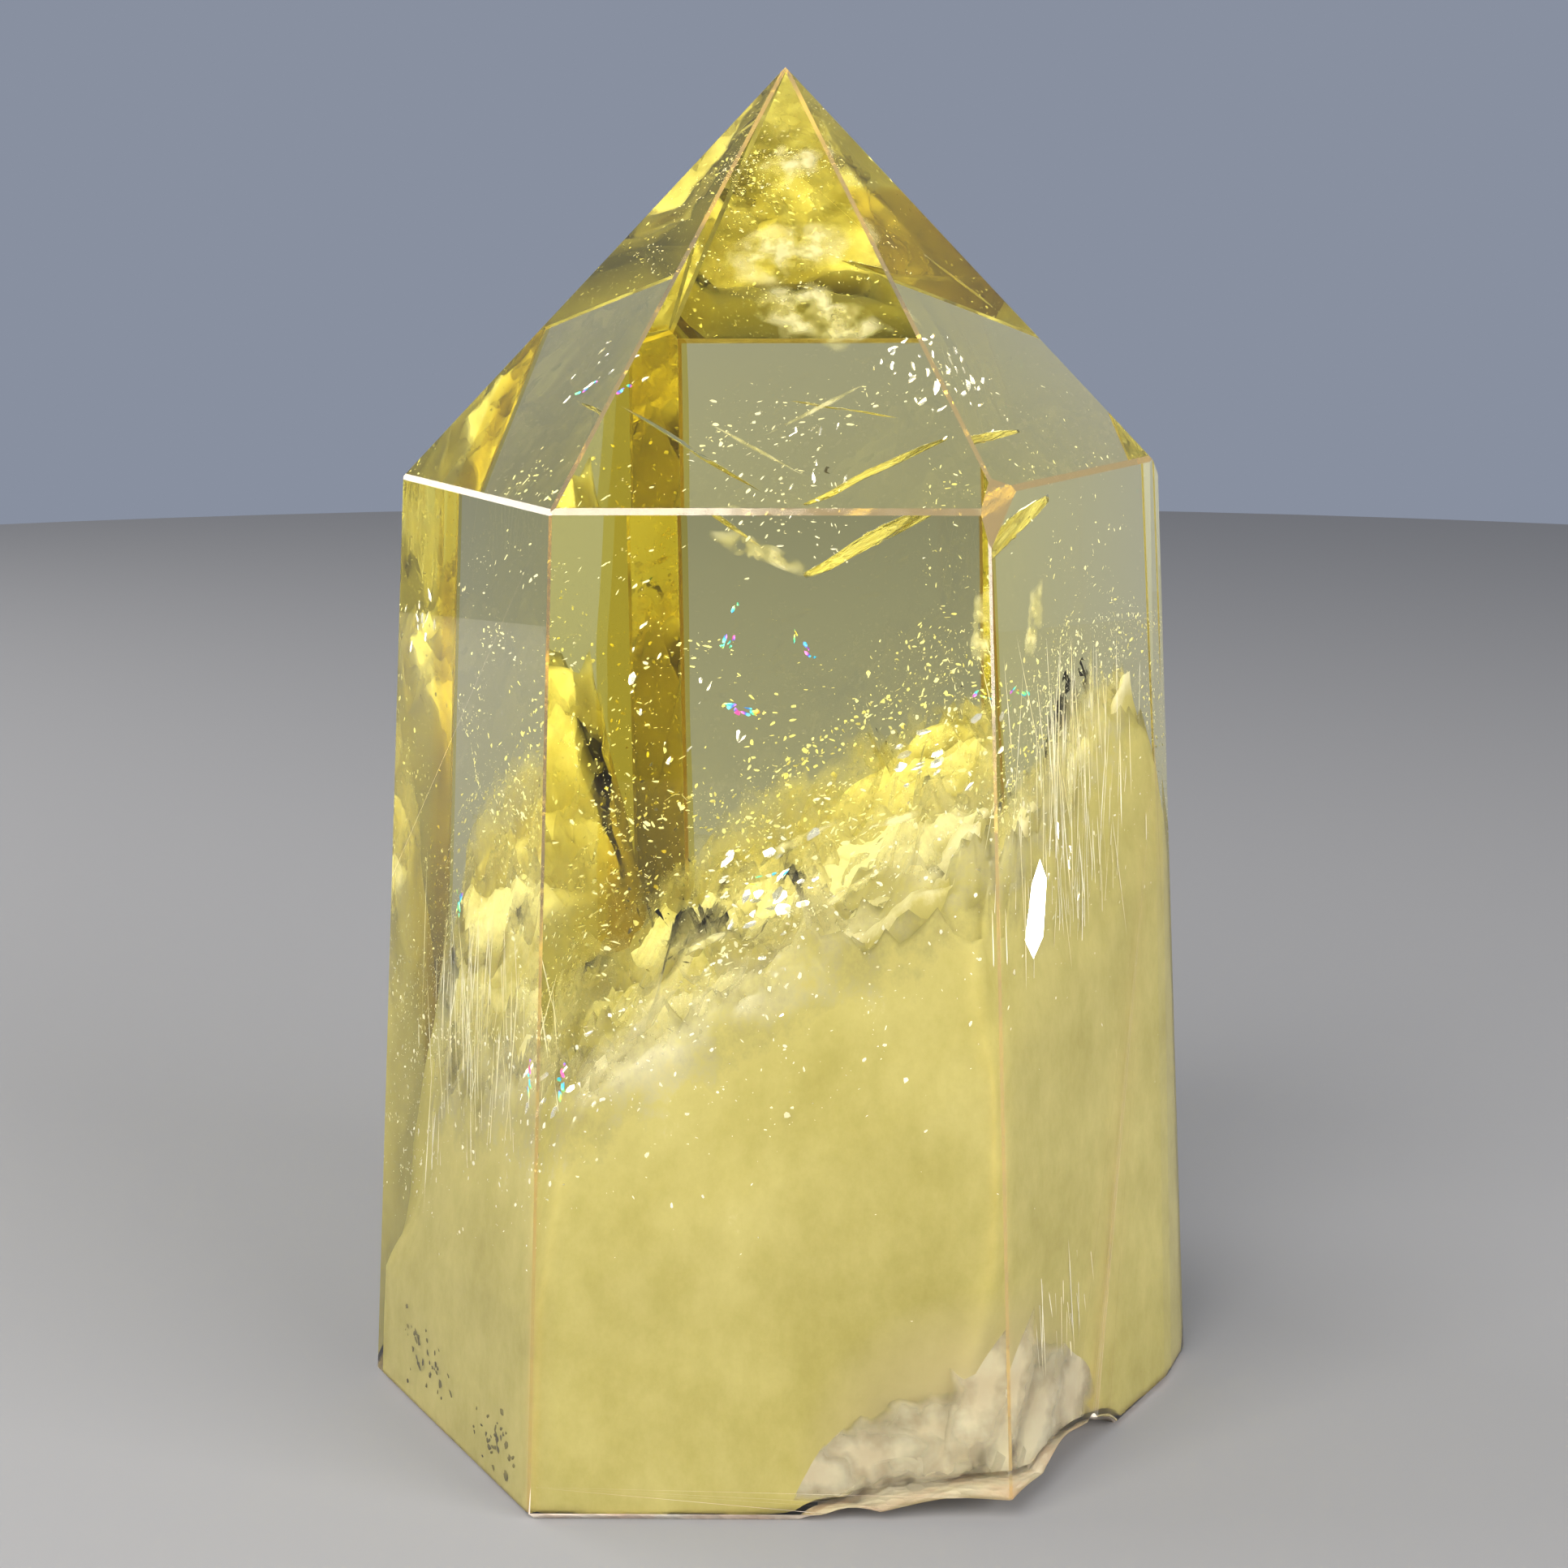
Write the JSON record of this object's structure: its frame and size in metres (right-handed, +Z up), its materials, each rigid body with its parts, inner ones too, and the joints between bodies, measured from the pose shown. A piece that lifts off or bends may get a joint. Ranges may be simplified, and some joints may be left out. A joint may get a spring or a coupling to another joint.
{
  "type": "crystal point",
  "caption": "Polished yellow quartz point with a tapering six-sided prism, a pointed termination and a flat base with a broken corner, for standing on a shelf.",
  "frame": {"origin": "middle of the bounding box's underside, in the plane of the flat base", "axes": "+Z up the crystal to its tip, -Y out of the wide front face"},
  "size_m": [0.0576, 0.0504, 0.0899],
  "materials": {
    "citrine": "polished, clear yellow quartz, cloudy in the lower half, broken and rough at one base corner"
  },
  "bodies": {
    "root": {"crystal": "citrine"}
  },
  "joints": []
}
